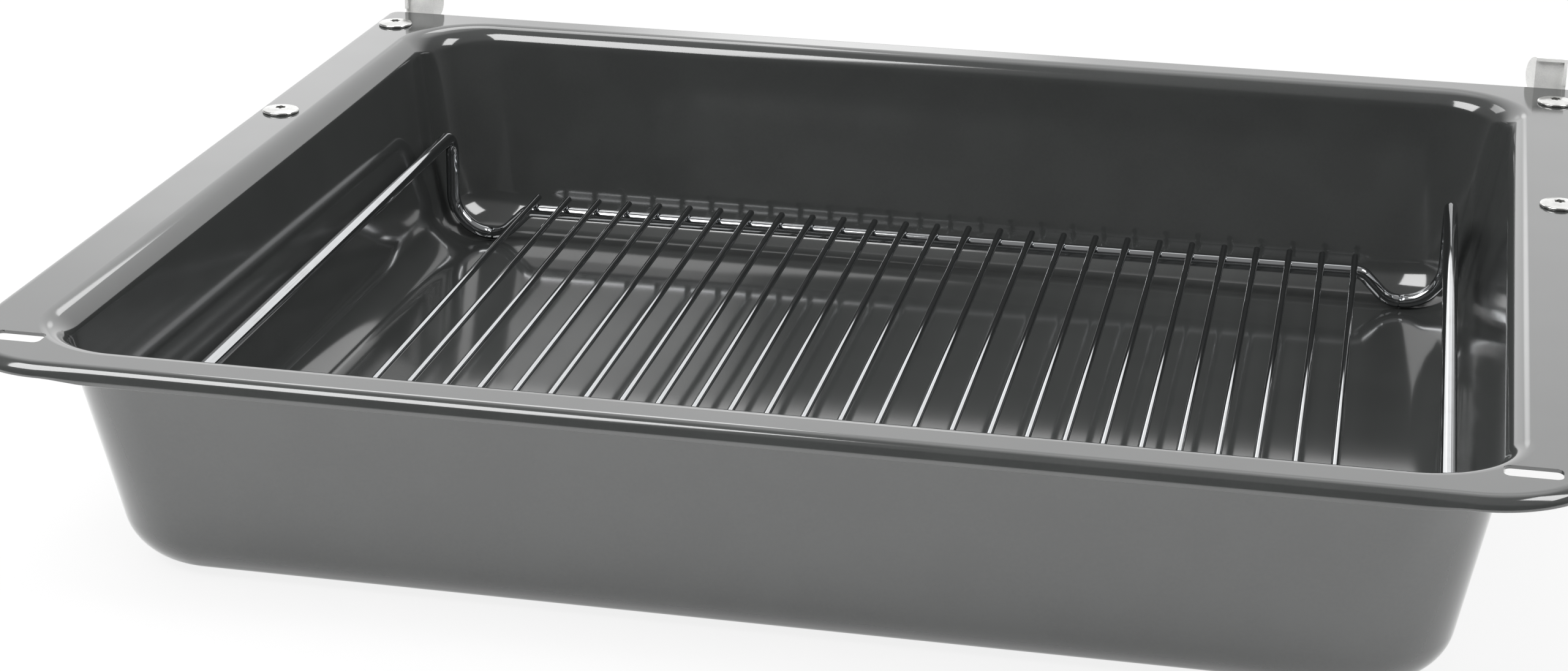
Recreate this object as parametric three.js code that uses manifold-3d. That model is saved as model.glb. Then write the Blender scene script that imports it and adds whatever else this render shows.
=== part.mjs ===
// Roasting pan with a lift-out wire rack.
// Millimetres, +Z up, front towards -Y, origin at the centre of the underside.

import * as THREE from 'three';
import { mergeVertices } from 'three/addons/utils/BufferGeometryUtils.js';
import Module from 'manifold-3d';

const { degToRad, lerp } = THREE.MathUtils;
const wasm = await Module();
wasm.setup();

// Pan: a drawn sheet with sloping walls, a flat flange and a turned-down rim
const PAN_WIDTH = 460; // over the rim, left to right
const PAN_DEPTH = 400; // over the rim, front to rear
const PAN_HEIGHT = 76; // underside to flange top
const SHEET = 1;
const WALL_DRAFT = degToRad(9.8);
const SIDE_FLANGE = 14.6; // flat width at the left and right
const END_FLANGE = 8; // flat width at the front and rear
const FRONT_FLANGE_CORNER = 30; // plan radius where the flat meets the rim
const REAR_FLANGE_CORNER = 2;
const RIM_RADIUS = 4; // outside radius of the rim's bend
const FRONT_SKIRT = 1; // how much deeper the rim hangs along the front
const SKIRT_FADE = 16; // length over which the skirt runs out at each end
const MOUTH_FILLET = 8; // top-side radius between flange and wall
const MOUTH_CORNER = 26; // plan radius of the outer wall at the flange
const BASE_CORNER = 28; // the same at the underside
const FLOOR_FILLET = 16.5; // outside radius between wall and underside

// Slots through the front corners of the flange
const SLOT_LENGTH = 15.3;
const SLOT_WIDTH = 7.4;
const SLOT_CORNER = 2;
const SLOT_SIDE_INSET = 12; // side edge of the pan to the slot's outer end
const SLOT_FRONT_INSET = 20.5; // front edge of the pan to the slot's centre line

// Screws and nuts that hold the hangers
const SCREW_SIDE_INSET = 10.5; // side edge of the pan to the screw's axis
const REAR_SCREW_INSET = 23; // rear edge of the pan to the rear screw's axis
const SCREW_SPACING = 124;
const SHANK_DIAMETER = 4;
const SHANK_CLEARANCE = 0.25; // radial, in the flange, the hanger and the nut
const SHANK_TIP = 1; // length that shows below the nut
const TIP_CHAMFER = 0.5;
const HEAD_DIAMETER = 12.7;
const HEAD_RIM = 0.9;
const HEAD_CROWN = 0.8;
const RECESS_WIDTH = 3.86; // across opposite lobes
const RECESS_WAIST = 2.78; // across opposite hollows
const RECESS_LOBES = 6;
const RECESS_DEPTH = 1.1;
const NUT_ACROSS_FLATS = 7;
const NUT_HEIGHT = 3.2;

// Hangers: a strip under each side flange that turns up behind the rear rim
const HANGER_SHEET = 1.5;
const HANGER_EDGE_MARGIN = 0.8; // strip edge to the end of the flange's flat
const HANGER_TAIL = 13; // strip in front of the middle screw
const JOGGLE_LENGTH = 6.5;
const JOGGLE_MARGIN = 1; // end of the joggle to the start of the rim's bend
const RIM_CLEARANCE = 0.3; // strip below the rim
const UPSTAND_GAP = 1.8; // rim to the upstand's front face
const UPSTAND_HEIGHT = 10.2; // above the flange
const UPSTAND_STEP = 1.7; // how much narrower than the strip, at the outer side
const UPSTAND_BEND = 1; // inside radius
const FOLD_REACH = 1.5; // forward reach of the folded top and outer edges
const FOLD_SHEET = 1.2;
const CHEEK_REACH = 4.7; // width of the round inner cheek
const CHEEK_ANGLE = degToRad(45); // how far the cheek is bent back

// Rack: one thick wire bent into a closed frame with four feet, and thin bars across it
const FRAME_WIRE = 5;
const BAR_WIRE = 2.4;
const BAR_COUNT = 27;
const BAR_END_MARGIN = 2.8; // outer bar to the corner of the crossbar's bend
const BAR_OVERHANG = 5; // bar end past the crossbar's centre line
const LEG_GAP = 0.55; // legs to the rounded corners of the pan
const LEG_INSET = 3.3; // legs inside the front and rear edges of the flat floor
const FOOT_RELIEF = 1.5; // how much tighter a foot bends than the floor fillet
const FOOT_FLAT = 0.5;
const FOOT_INNER_BEND = 10;
const FOOT_SLOPE = degToRad(45); // rise of the wire from a foot to the crossbar
const CROSSBAR_BEND = 6;
const CROSSBAR_RISE = 10; // crossbar above the feet, centre to centre
const RAIL_RISE = 38.4; // side rail above the feet, centre to centre
const RAIL_BEND = 8;
const REST_GAP = 0.3; // feet to floor and bars to crossbars
const RACK_TURN = degToRad(0.9); // the loose rack lies slightly turned
const RACK_SHIFT = 1.07; // and a little to the right

// Facets
const CORNER_STEPS = 10;
const FLOOR_FILLET_STEPS = 8;
const MOUTH_FILLET_STEPS = 8;
const RIM_STEPS = 6;
const SLOT_CORNER_STEPS = 4;
const CROWN_STEPS = 4;
const UPSTAND_BEND_STEPS = 4;
const SQUARE_BEND_STEPS = 6;
const SLOPE_BEND_STEPS = 3;
const WIRE_SIDES = 12;
const BAR_SIDES = 10;
const HALF_TURN_STEPS = 12;
const ROUND_SIDES = 24;
const RECESS_STEPS = 48;

// Levels and half sizes that several pieces share
const rightAngle = Math.PI / 2;
const halfWidth = PAN_WIDTH / 2;
const halfDepth = PAN_DEPTH / 2;
const flangeUnderside = PAN_HEIGHT - SHEET;
const rimBottom = PAN_HEIGHT - RIM_RADIUS;
const mouthTangent = (MOUTH_FILLET * (1 - Math.sin(WALL_DRAFT))) / Math.cos(WALL_DRAFT);
const flatInnerEdge = halfWidth - RIM_RADIUS - SIDE_FLANGE;
const mouthHalfWidth = flatInnerEdge - mouthTangent;
const mouthHalfDepth = halfDepth - RIM_RADIUS - END_FLANGE - mouthTangent;
const floorFilletInside = FLOOR_FILLET - SHEET;
const floorFilletOffset =
  -(floorFilletInside + (PAN_HEIGHT - FLOOR_FILLET) * Math.sin(WALL_DRAFT)) / Math.cos(WALL_DRAFT);
const flatFloorHalfDepth = mouthHalfDepth + floorFilletOffset;
const screwX = halfWidth - SCREW_SIDE_INSET;
const rearScrewY = halfDepth - REAR_SCREW_INSET;
const middleScrewY = rearScrewY - SCREW_SPACING;
const shankHoleRadius = SHANK_DIAMETER / 2 + SHANK_CLEARANCE;
const hangerUnderside = flangeUnderside - HANGER_SHEET;

// Booleans

function solidOf(geometry) {
  const bare = geometry.clone();
  bare.deleteAttribute('normal');
  bare.deleteAttribute('uv');
  const merged = mergeVertices(bare);
  return new wasm.Manifold(new wasm.Mesh({
    numProp: 3,
    vertProperties: new Float32Array(merged.attributes.position.array),
    triVerts: new Uint32Array(merged.index.array),
  }));
}

function geometryOf(solid) {
  const mesh = solid.getMesh();
  return indexedGeometry(mesh.vertProperties, mesh.triVerts);
}

function joined(base, ...others) {
  return geometryOf(others.reduce((sum, other) => sum.add(solidOf(other)), solidOf(base)));
}

function cut(base, ...cutters) {
  return geometryOf(cutters.reduce((rest, cutter) => rest.subtract(solidOf(cutter)), solidOf(base)));
}

// Geometry helpers

function indexedGeometry(positions, triangles) {
  const geometry = new THREE.BufferGeometry();
  geometry.setAttribute('position', new THREE.Float32BufferAttribute(positions, 3));
  geometry.setIndex([...triangles]);
  return geometry;
}

function mirroredLeftToRight(geometry) {
  const copy = geometry.clone().scale(-1, 1, 1);
  const index = copy.index.array;
  for (let i = 0; i < index.length; i += 3) {
    [index[i], index[i + 1]] = [index[i + 1], index[i]];
  }
  return copy;
}

function box(low, high) {
  const size = high.map((value, axis) => value - low[axis]);
  const centre = high.map((value, axis) => (value + low[axis]) / 2);
  return new THREE.BoxGeometry(...size).translate(...centre);
}

function arc([x, y], radius, from, to, steps) {
  return Array.from({ length: steps + 1 }, (_, i) => {
    const angle = lerp(from, to, i / steps);
    return [x + radius * Math.cos(angle), y + radius * Math.sin(angle)];
  });
}

function outline(points) {
  return new THREE.Shape(points.map(([x, y]) => new THREE.Vector2(x, y)));
}

function upright(shape, bottom, top) {
  const options = { depth: top - bottom, bevelEnabled: false, curveSegments: HALF_TURN_STEPS };
  return new THREE.ExtrudeGeometry(shape, options).translate(0, 0, bottom);
}

// A shape drawn in the YZ plane, extruded along X
function sideways(shape, left, right) {
  const axes = new THREE.Matrix4().makeBasis(
    new THREE.Vector3(0, 1, 0),
    new THREE.Vector3(0, 0, 1),
    new THREE.Vector3(1, 0, 0),
  );
  const options = { depth: right - left, bevelEnabled: false };
  return new THREE.ExtrudeGeometry(shape, options).applyMatrix4(axes).translate(left, 0, 0);
}

function screwHole(x, y) {
  const height = 2 * RIM_RADIUS + 2 * HANGER_SHEET;
  return new THREE.CylinderGeometry(shankHoleRadius, shankHoleRadius, height, ROUND_SIDES)
    .rotateX(rightAngle)
    .translate(x, y, flangeUnderside);
}

// Pan shell: closed rings of rounded rectangles lofted round the sheet's section

// Counter-clockwise from above, with two points on the front where the skirt ends
function roundedRing(halfX, halfY, frontRadius, rearRadius, z, skirt = 0) {
  const frontX = halfX - frontRadius;
  const frontY = frontRadius - halfY;
  const rearX = halfX - rearRadius;
  const rearY = halfY - rearRadius;
  const corner = (centre, radius, from) => arc(centre, radius, from, from + rightAngle, CORNER_STEPS)
    .map(([x, y]) => [x, y, z]);
  return [
    ...corner([-frontX, frontY], frontRadius, Math.PI),
    [SKIRT_FADE - frontX, -halfY, z - skirt],
    [frontX - SKIRT_FADE, -halfY, z - skirt],
    ...corner([frontX, frontY], frontRadius, 3 * rightAngle),
    ...corner([rearX, rearY], rearRadius, 0),
    ...corner([-rearX, rearY], rearRadius, rightAngle),
  ];
}

function loft(rings) {
  const count = rings[0].length;
  const positions = rings.flat();
  const triangles = [];
  rings.slice(1).forEach((_, ring) => {
    for (let i = 0; i < count; i += 1) {
      const a = ring * count + i;
      const b = ring * count + (i + 1) % count;
      triangles.push(a, b, b + count, a, b + count, a + count);
    }
  });
  const last = (rings.length - 1) * count;
  positions.push([0, 0, rings[0][0][2]], [0, 0, rings.at(-1)[0][2]]);
  const [bottomCentre, topCentre] = [positions.length - 2, positions.length - 1];
  for (let i = 0; i < count; i += 1) {
    const next = (i + 1) % count;
    triangles.push(bottomCentre, next, i, topCentre, last + i, last + next);
  }
  return indexedGeometry(positions.flat(), triangles);
}

function wallInset(z) {
  return (PAN_HEIGHT - z) * Math.tan(WALL_DRAFT);
}

function insideCorner(z) {
  return lerp(BASE_CORNER, MOUTH_CORNER, z / PAN_HEIGHT) - SHEET;
}

// Offsets are measured outwards from where the inner wall would meet the flange's top
function wallRing([offset, z]) {
  const corner = insideCorner(z) + wallInset(z) + offset;
  return roundedRing(mouthHalfWidth + offset, mouthHalfDepth + offset, corner, corner, z);
}

// Offsets are measured outwards from the outer edge of the flange's flat
function rimRing([offset, z], skirt = 0) {
  return roundedRing(
    halfWidth - RIM_RADIUS + offset,
    halfDepth - RIM_RADIUS + offset,
    FRONT_FLANGE_CORNER + offset,
    REAR_FLANGE_CORNER + offset,
    z,
    skirt,
  );
}

function panSection() {
  const wallAngle = Math.PI - WALL_DRAFT;
  const floorCentre = [floorFilletOffset, FLOOR_FILLET];
  const mouthCentre = [mouthTangent, PAN_HEIGHT - MOUTH_FILLET];
  const rimCentre = [0, rimBottom];
  const floor = (radius) =>
    arc(floorCentre, radius, -rightAngle, -WALL_DRAFT, FLOOR_FILLET_STEPS).map(wallRing);
  const mouth = (radius) =>
    arc(mouthCentre, radius, wallAngle, rightAngle, MOUTH_FILLET_STEPS).map(wallRing);
  const rim = (radius) =>
    arc(rimCentre, radius, rightAngle, 0, RIM_STEPS)
      .map((point, i) => rimRing(point, i === RIM_STEPS ? FRONT_SKIRT : 0));
  return [
    ...floor(FLOOR_FILLET),
    ...mouth(MOUTH_FILLET - SHEET),
    ...rim(RIM_RADIUS - SHEET),
    ...rim(RIM_RADIUS).reverse(),
    ...mouth(MOUTH_FILLET).reverse(),
    ...floor(floorFilletInside).reverse(),
  ];
}

function slotCutter(side) {
  const centreX = side * (halfWidth - SLOT_SIDE_INSET - SLOT_LENGTH / 2);
  const centreY = SLOT_FRONT_INSET - halfDepth;
  const endX = SLOT_LENGTH / 2 - SLOT_CORNER;
  const endY = SLOT_WIDTH / 2 - SLOT_CORNER;
  const quarter = (x, y, from) =>
    arc([centreX + x, centreY + y], SLOT_CORNER, from, from + rightAngle, SLOT_CORNER_STEPS);
  const shape = outline([
    ...quarter(endX, endY, 0),
    ...quarter(-endX, endY, rightAngle),
    ...quarter(-endX, -endY, Math.PI),
    ...quarter(endX, -endY, 3 * rightAngle),
  ]);
  return upright(shape, rimBottom, PAN_HEIGHT + RIM_RADIUS);
}

function panShell() {
  const cutters = [-1, 1].flatMap((side) => [
    slotCutter(side),
    screwHole(side * screwX, rearScrewY),
    screwHole(side * screwX, middleScrewY),
  ]);
  return cut(loft(panSection()), ...cutters);
}

// Hangers

// A band of even thickness to the right of a line
function bandOutline(line, thickness) {
  const far = line.map((point, i) => {
    const here = new THREE.Vector2(...point);
    const before = new THREE.Vector2(...line[Math.max(i - 1, 0)]);
    const after = new THREE.Vector2(...line[Math.min(i + 1, line.length - 1)]);
    const arriving = here.clone().sub(before).normalize();
    const leaving = after.sub(here).normalize();
    const along = arriving.clone().add(leaving).normalize();
    const shortening = i > 0 && i < line.length - 1 ? along.dot(leaving) : 1;
    const reach = thickness / shortening;
    return [point[0] + along.y * reach, point[1] - along.x * reach];
  });
  return outline([...line, ...far.reverse()]);
}

function hangerSide(upstandFace, upstandTop) {
  const joggleEnd = halfDepth - RIM_RADIUS - JOGGLE_MARGIN;
  const underRim = rimBottom - RIM_CLEARANCE;
  const bendCentre = [upstandFace - UPSTAND_BEND, underRim + UPSTAND_BEND];
  return bandOutline([
    [middleScrewY - HANGER_TAIL, flangeUnderside],
    [joggleEnd - JOGGLE_LENGTH, flangeUnderside],
    [joggleEnd, underRim],
    ...arc(bendCentre, UPSTAND_BEND, -rightAngle, 0, UPSTAND_BEND_STEPS),
    [upstandFace, upstandTop],
  ], HANGER_SHEET);
}

// The round inner cheek, standing on the upstand's inner edge and bent back
function hangerCheek(edgeX, upstandFace, upstandTop) {
  const halfHeight = (upstandTop - rimBottom) / 2;
  const round = Array.from({ length: HALF_TURN_STEPS + 1 }, (_, i) => {
    const angle = rightAngle + (Math.PI * i) / HALF_TURN_STEPS;
    return [CHEEK_REACH * Math.cos(angle), halfHeight * Math.sin(angle)];
  });
  return new THREE.ExtrudeGeometry(outline(round), { depth: HANGER_SHEET, bevelEnabled: false })
    .rotateX(rightAngle)
    .translate(0, HANGER_SHEET, 0)
    .rotateZ(-CHEEK_ANGLE)
    .translate(edgeX, upstandFace, upstandTop - halfHeight);
}

function rightHanger() {
  const innerX = flatInnerEdge + HANGER_EDGE_MARGIN;
  const outerX = halfWidth - RIM_RADIUS - HANGER_EDGE_MARGIN;
  const upstandOuterX = outerX - UPSTAND_STEP;
  const upstandFace = halfDepth + UPSTAND_GAP;
  const upstandBack = upstandFace + HANGER_SHEET;
  const upstandTop = PAN_HEIGHT + UPSTAND_HEIGHT;
  const foldFront = upstandFace - FOLD_REACH;
  const foldBottom = PAN_HEIGHT + RIM_CLEARANCE;
  const body = sideways(hangerSide(upstandFace, upstandTop), innerX, outerX);
  const foldCorner = [upstandOuterX, upstandBack, upstandTop];
  const topFold = box([innerX, foldFront, upstandTop - FOLD_SHEET], foldCorner);
  const sideFold = box([upstandOuterX - FOLD_SHEET, foldFront, foldBottom], foldCorner);
  const beside = box(
    [upstandOuterX, halfDepth, rimBottom + UPSTAND_BEND],
    [outerX + SHEET, upstandBack + SHEET, upstandTop + SHEET],
  );
  const whole = joined(body, topFold, sideFold, hangerCheek(innerX, upstandFace, upstandTop));
  return cut(whole, beside, screwHole(screwX, rearScrewY), screwHole(screwX, middleScrewY));
}

// Screws and nuts, drawn with the flange's top at zero

function screw() {
  const shankRadius = SHANK_DIAMETER / 2;
  const headRadius = HEAD_DIAMETER / 2;
  const tip = -(SHEET + HANGER_SHEET + NUT_HEIGHT + SHANK_TIP);
  const headTop = HEAD_RIM + HEAD_CROWN;
  const crownRadius = (headRadius ** 2 + HEAD_CROWN ** 2) / (2 * HEAD_CROWN);
  const crownAngle = Math.asin(headRadius / crownRadius);
  const crownCentre = [0, headTop - crownRadius];
  const crown = arc(crownCentre, crownRadius, rightAngle - crownAngle, rightAngle, CROWN_STEPS);
  crown.at(-1)[0] = 0;
  const profile = [
    [0, tip],
    [shankRadius - TIP_CHAMFER, tip],
    [shankRadius, tip + TIP_CHAMFER],
    [shankRadius, 0],
    [headRadius, 0],
    ...crown,
  ];
  const blank = new THREE.LatheGeometry(outline(profile).getPoints(), ROUND_SIDES).rotateX(rightAngle);
  return cut(blank, recessCutter(headTop));
}

function recessCutter(headTop) {
  const mean = (RECESS_WIDTH + RECESS_WAIST) / 4;
  const swing = (RECESS_WIDTH - RECESS_WAIST) / 4;
  const lobes = Array.from({ length: RECESS_STEPS }, (_, i) => {
    const angle = (2 * Math.PI * i) / RECESS_STEPS;
    const radius = mean + swing * Math.cos(RECESS_LOBES * angle);
    return [radius * Math.cos(angle), radius * Math.sin(angle)];
  });
  return upright(outline(lobes), headTop - RECESS_DEPTH, headTop + RECESS_DEPTH);
}

function nut() {
  const cornerRadius = NUT_ACROSS_FLATS / Math.sqrt(3);
  const hexagon = outline(arc([0, 0], cornerRadius, 0, 2 * Math.PI, 6).slice(1));
  hexagon.holes.push(new THREE.Path().absarc(0, 0, shankHoleRadius, 0, 2 * Math.PI, true));
  const top = hangerUnderside - PAN_HEIGHT;
  return upright(hexagon, top - NUT_HEIGHT, top);
}

// Rack

function vector(x, y, z) {
  return new THREE.Vector3(x, y, z);
}

// Rounds the corner at a point between its two neighbours
function bend(before, at, after, radius, steps) {
  const back = before.clone().sub(at).normalize();
  const onward = after.clone().sub(at).normalize();
  const turn = Math.PI - back.angleTo(onward);
  const start = at.clone().addScaledVector(back, radius * Math.tan(turn / 2));
  const toCentre = back.clone().add(onward).normalize();
  const centre = at.clone().addScaledVector(toCentre, radius / Math.cos(turn / 2));
  const spoke = start.clone().sub(centre);
  return Array.from({ length: steps + 1 }, (_, i) => {
    const angle = (turn * i) / steps;
    return centre.clone()
      .addScaledVector(spoke, Math.cos(angle))
      .addScaledVector(back, -radius * Math.sin(angle));
  });
}

// A round wire along a closed line, with its cross-section carried round without twist
function closedWire(points, radius, sides) {
  const count = points.length;
  const directions = points.map((point, i) => points[(i + 1) % count].clone().sub(point).normalize());
  const tangents = directions.map((direction, i) => direction.clone().add(directions.at(i - 1)).normalize());
  const normals = [vector(0, 0, 1).cross(tangents[0]).normalize()];
  const step = new THREE.Quaternion();
  for (let i = 1; i <= count; i += 1) {
    step.setFromUnitVectors(tangents[i - 1], tangents[i % count]);
    normals.push(normals[i - 1].clone().applyQuaternion(step));
  }
  const last = normals.pop();
  const side = tangents[0].clone().cross(normals[0]);
  const twist = Math.atan2(last.dot(side), last.dot(normals[0]));
  const positions = points.flatMap((point, i) => {
    const normal = normals[i].applyAxisAngle(tangents[i], (-twist * i) / count);
    const across = tangents[i].clone().cross(normal);
    return Array.from({ length: sides }, (_, j) => {
      const angle = (2 * Math.PI * j) / sides;
      const rim = point.clone()
        .addScaledVector(normal, radius * Math.cos(angle))
        .addScaledVector(across, radius * Math.sin(angle));
      return rim.toArray();
    }).flat();
  });
  const triangles = [];
  for (let i = 0; i < count; i += 1) {
    for (let j = 0; j < sides; j += 1) {
      const here = i * sides;
      const next = ((i + 1) % count) * sides;
      const k = (j + 1) % sides;
      triangles.push(here + j, here + k, next + k, here + j, next + k, next + j);
    }
  }
  return indexedGeometry(positions, triangles);
}

// How far from the rack's middle its legs can stand and still clear the pan's round corners
function legX(legY, clearHeight) {
  const corner = insideCorner(clearHeight);
  const cornerX = mouthHalfWidth - wallInset(clearHeight) - corner;
  const cornerY = mouthHalfDepth - wallInset(clearHeight) - corner;
  const room = corner - LEG_GAP - FRAME_WIRE / 2;
  const reach = Math.sqrt(room ** 2 - Math.max(legY - cornerY, 0) ** 2);
  return (cornerX + reach - RACK_SHIFT - legY * Math.sin(RACK_TURN)) / Math.cos(RACK_TURN);
}

function rackSizes() {
  const footBend = FLOOR_FILLET - FOOT_RELIEF;
  const footZ = SHEET + REST_GAP + FRAME_WIRE / 2;
  const crossbarZ = footZ + CROSSBAR_RISE;
  const crossbarY = flatFloorHalfDepth - LEG_INSET;
  const railX = legX(crossbarY, footZ + footBend);
  const footInnerX = railX - footBend - FOOT_FLAT - FOOT_INNER_BEND * Math.tan(FOOT_SLOPE / 2);
  return {
    footBend,
    footZ,
    crossbarZ,
    crossbarY,
    railX,
    railZ: footZ + RAIL_RISE,
    footInnerX,
    crossbarX: footInnerX - CROSSBAR_RISE / Math.tan(FOOT_SLOPE),
    barZ: crossbarZ + FRAME_WIRE / 2 + REST_GAP + BAR_WIRE / 2,
  };
}

function rackFrame(sizes) {
  const { footBend, footZ, crossbarZ, crossbarY, railX, railZ, footInnerX, crossbarX } = sizes;
  const corner = [
    { x: railX, z: railZ, radius: RAIL_BEND, steps: SQUARE_BEND_STEPS },
    { x: railX, z: footZ, radius: footBend, steps: SQUARE_BEND_STEPS },
    { x: footInnerX, z: footZ, radius: FOOT_INNER_BEND, steps: SLOPE_BEND_STEPS },
    { x: crossbarX, z: crossbarZ, radius: CROSSBAR_BEND, steps: SLOPE_BEND_STEPS },
  ];
  const reversed = corner.toReversed();
  const placed = (list, sideX, sideY) => list.map((spot) =>
    ({ ...spot, at: vector(sideX * spot.x, sideY * crossbarY, spot.z) }));
  const spots = [
    ...placed(corner, 1, 1),
    ...placed(reversed, -1, 1),
    ...placed(corner, -1, -1),
    ...placed(reversed, 1, -1),
  ];
  const line = spots.flatMap(({ at, radius, steps }, i) =>
    bend(spots.at(i - 1).at, at, spots[(i + 1) % spots.length].at, radius, steps));
  return closedWire(line, FRAME_WIRE / 2, WIRE_SIDES);
}

function rackBar(sizes) {
  const length = 2 * (sizes.crossbarY + BAR_OVERHANG);
  return new THREE.CylinderGeometry(BAR_WIRE / 2, BAR_WIRE / 2, length, BAR_SIDES)
    .translate(0, 0, sizes.barZ);
}

// Finishes

const enamel = () => new THREE.MeshStandardMaterial({ color: 0x2b2d2e, roughness: 0.12, metalness: 0 });
const chrome = () => new THREE.MeshStandardMaterial({ color: 0xd9dadb, roughness: 0.1, metalness: 1 });
const plating = () => new THREE.MeshStandardMaterial({ color: 0xc4c5c2, roughness: 0.35, metalness: 1 });

function piece(name, geometry, material) {
  const mesh = new THREE.Mesh(geometry, material);
  mesh.name = name;
  return mesh;
}

// Assembly

function fastenerPair(side, place, y) {
  const pair = new THREE.Group();
  pair.add(piece(`${side}_${place}_screw`, screw(), chrome()));
  pair.add(piece(`${side}_${place}_nut`, nut(), plating()));
  pair.position.set(side === 'left' ? -screwX : screwX, y, PAN_HEIGHT);
  return pair;
}

function panGroup() {
  const group = new THREE.Group();
  const hanger = rightHanger();
  group.add(piece('pan_shell', panShell(), enamel()));
  group.add(piece('left_hanger', mirroredLeftToRight(hanger), plating()));
  group.add(piece('right_hanger', hanger, plating()));
  for (const side of ['left', 'right']) {
    group.add(fastenerPair(side, 'rear', rearScrewY));
    group.add(fastenerPair(side, 'middle', middleScrewY));
  }
  return group;
}

function rackGroup() {
  const group = new THREE.Group();
  const sizes = rackSizes();
  const outerBarX = sizes.crossbarX - BAR_END_MARGIN;
  group.add(piece('rack_frame', rackFrame(sizes), chrome()));
  for (let i = 0; i < BAR_COUNT; i += 1) {
    const bar = piece(`rack_bar_${String(i + 1).padStart(2, '0')}`, rackBar(sizes), chrome());
    bar.position.x = lerp(-outerBarX, outerBarX, i / (BAR_COUNT - 1));
    group.add(bar);
  }
  group.rotation.z = RACK_TURN;
  group.position.x = RACK_SHIFT;
  return group;
}

const roastingPan = new THREE.Group();
roastingPan.add(panGroup(), rackGroup());

export default roastingPan;
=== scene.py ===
"""Roasting pan with a lift-out wire rack, dressed for its photograph.

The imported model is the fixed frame. Each sub-assembly class holds its sizes in metres and builds its
meshes in the frame's own axes. Each finish is a class that makes one material.
"""

import logging
import math
from dataclasses import dataclass
from enum import Enum
from typing import Any, Iterable, Sequence

import bmesh
import bpy
import numpy as np
from mathutils import Matrix, Quaternion, Vector

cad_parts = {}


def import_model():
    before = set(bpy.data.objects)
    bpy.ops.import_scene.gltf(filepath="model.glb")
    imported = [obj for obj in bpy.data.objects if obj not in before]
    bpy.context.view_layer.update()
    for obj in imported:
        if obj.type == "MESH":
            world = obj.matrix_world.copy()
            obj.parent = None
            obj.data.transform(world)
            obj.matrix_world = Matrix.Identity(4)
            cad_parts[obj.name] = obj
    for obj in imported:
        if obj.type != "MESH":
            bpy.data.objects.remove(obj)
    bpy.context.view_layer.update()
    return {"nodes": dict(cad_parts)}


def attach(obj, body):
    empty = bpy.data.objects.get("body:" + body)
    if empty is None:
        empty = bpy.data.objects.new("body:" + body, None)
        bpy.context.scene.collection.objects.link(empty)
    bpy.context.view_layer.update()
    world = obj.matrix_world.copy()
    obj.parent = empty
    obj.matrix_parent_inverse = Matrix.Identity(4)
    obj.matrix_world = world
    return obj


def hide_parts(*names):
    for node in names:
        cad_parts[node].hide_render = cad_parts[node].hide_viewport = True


LOG = logging.getLogger("roasting_pan")
MM = 0.001
RIGHT_ANGLE = math.pi / 2
NO_CREASE = math.pi
ROUND_PROFILE = 0.5
WHITE = (1.0, 1.0, 1.0, 1.0)

Colour = tuple[float, float, float]
Pair = tuple[float, float]
Ring = np.ndarray


class Side(Enum):
    """Left and right of the pan, as signs of X."""

    LEFT = -1
    RIGHT = 1


class Body(Enum):
    """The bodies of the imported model."""

    PAN = "pan"
    RACK = "rack"


class Slot(Enum):
    """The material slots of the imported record."""

    ENAMEL = "enamel"
    CHROME = "rack_chrome"
    SCREW = "screw_steel"
    HANGER = "hanger_steel"


class Place(Enum):
    """The coordinates that a texture follows, as outputs of their node."""

    OBJECT = "Object"
    SURFACE = "UV"


class Signal:
    """A value socket that takes part in Python arithmetic."""

    def __init__(self, graph: "Graph", socket: bpy.types.NodeSocket) -> None:
        """Wraps an output socket of a graph."""
        self.graph = graph
        self.socket = socket

    def _maths(self, operation: str, first: Any, second: Any) -> "Signal":
        """Adds a Math node.

        Args:
            operation: the Math node's operation.
            first: its first value or signal.
            second: its second value or signal.

        Returns:
            The node's result.
        """
        node = self.graph.add("ShaderNodeMath", {"operation": operation}, {0: first, 1: second})
        return self.graph.read(node, 0)

    def __add__(self, other: Any) -> "Signal":
        """The sum with another value."""
        return self._maths("ADD", self, other)

    def __radd__(self, other: Any) -> "Signal":
        """The sum with a number on the left."""
        return self._maths("ADD", other, self)

    def __sub__(self, other: Any) -> "Signal":
        """The difference from another value."""
        return self._maths("SUBTRACT", self, other)

    def __rsub__(self, other: Any) -> "Signal":
        """The difference from a number on the left."""
        return self._maths("SUBTRACT", other, self)

    def __mul__(self, other: Any) -> "Signal":
        """The product with another value."""
        return self._maths("MULTIPLY", self, other)

    def __rmul__(self, other: Any) -> "Signal":
        """The product with a number on the left."""
        return self._maths("MULTIPLY", other, self)


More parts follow.
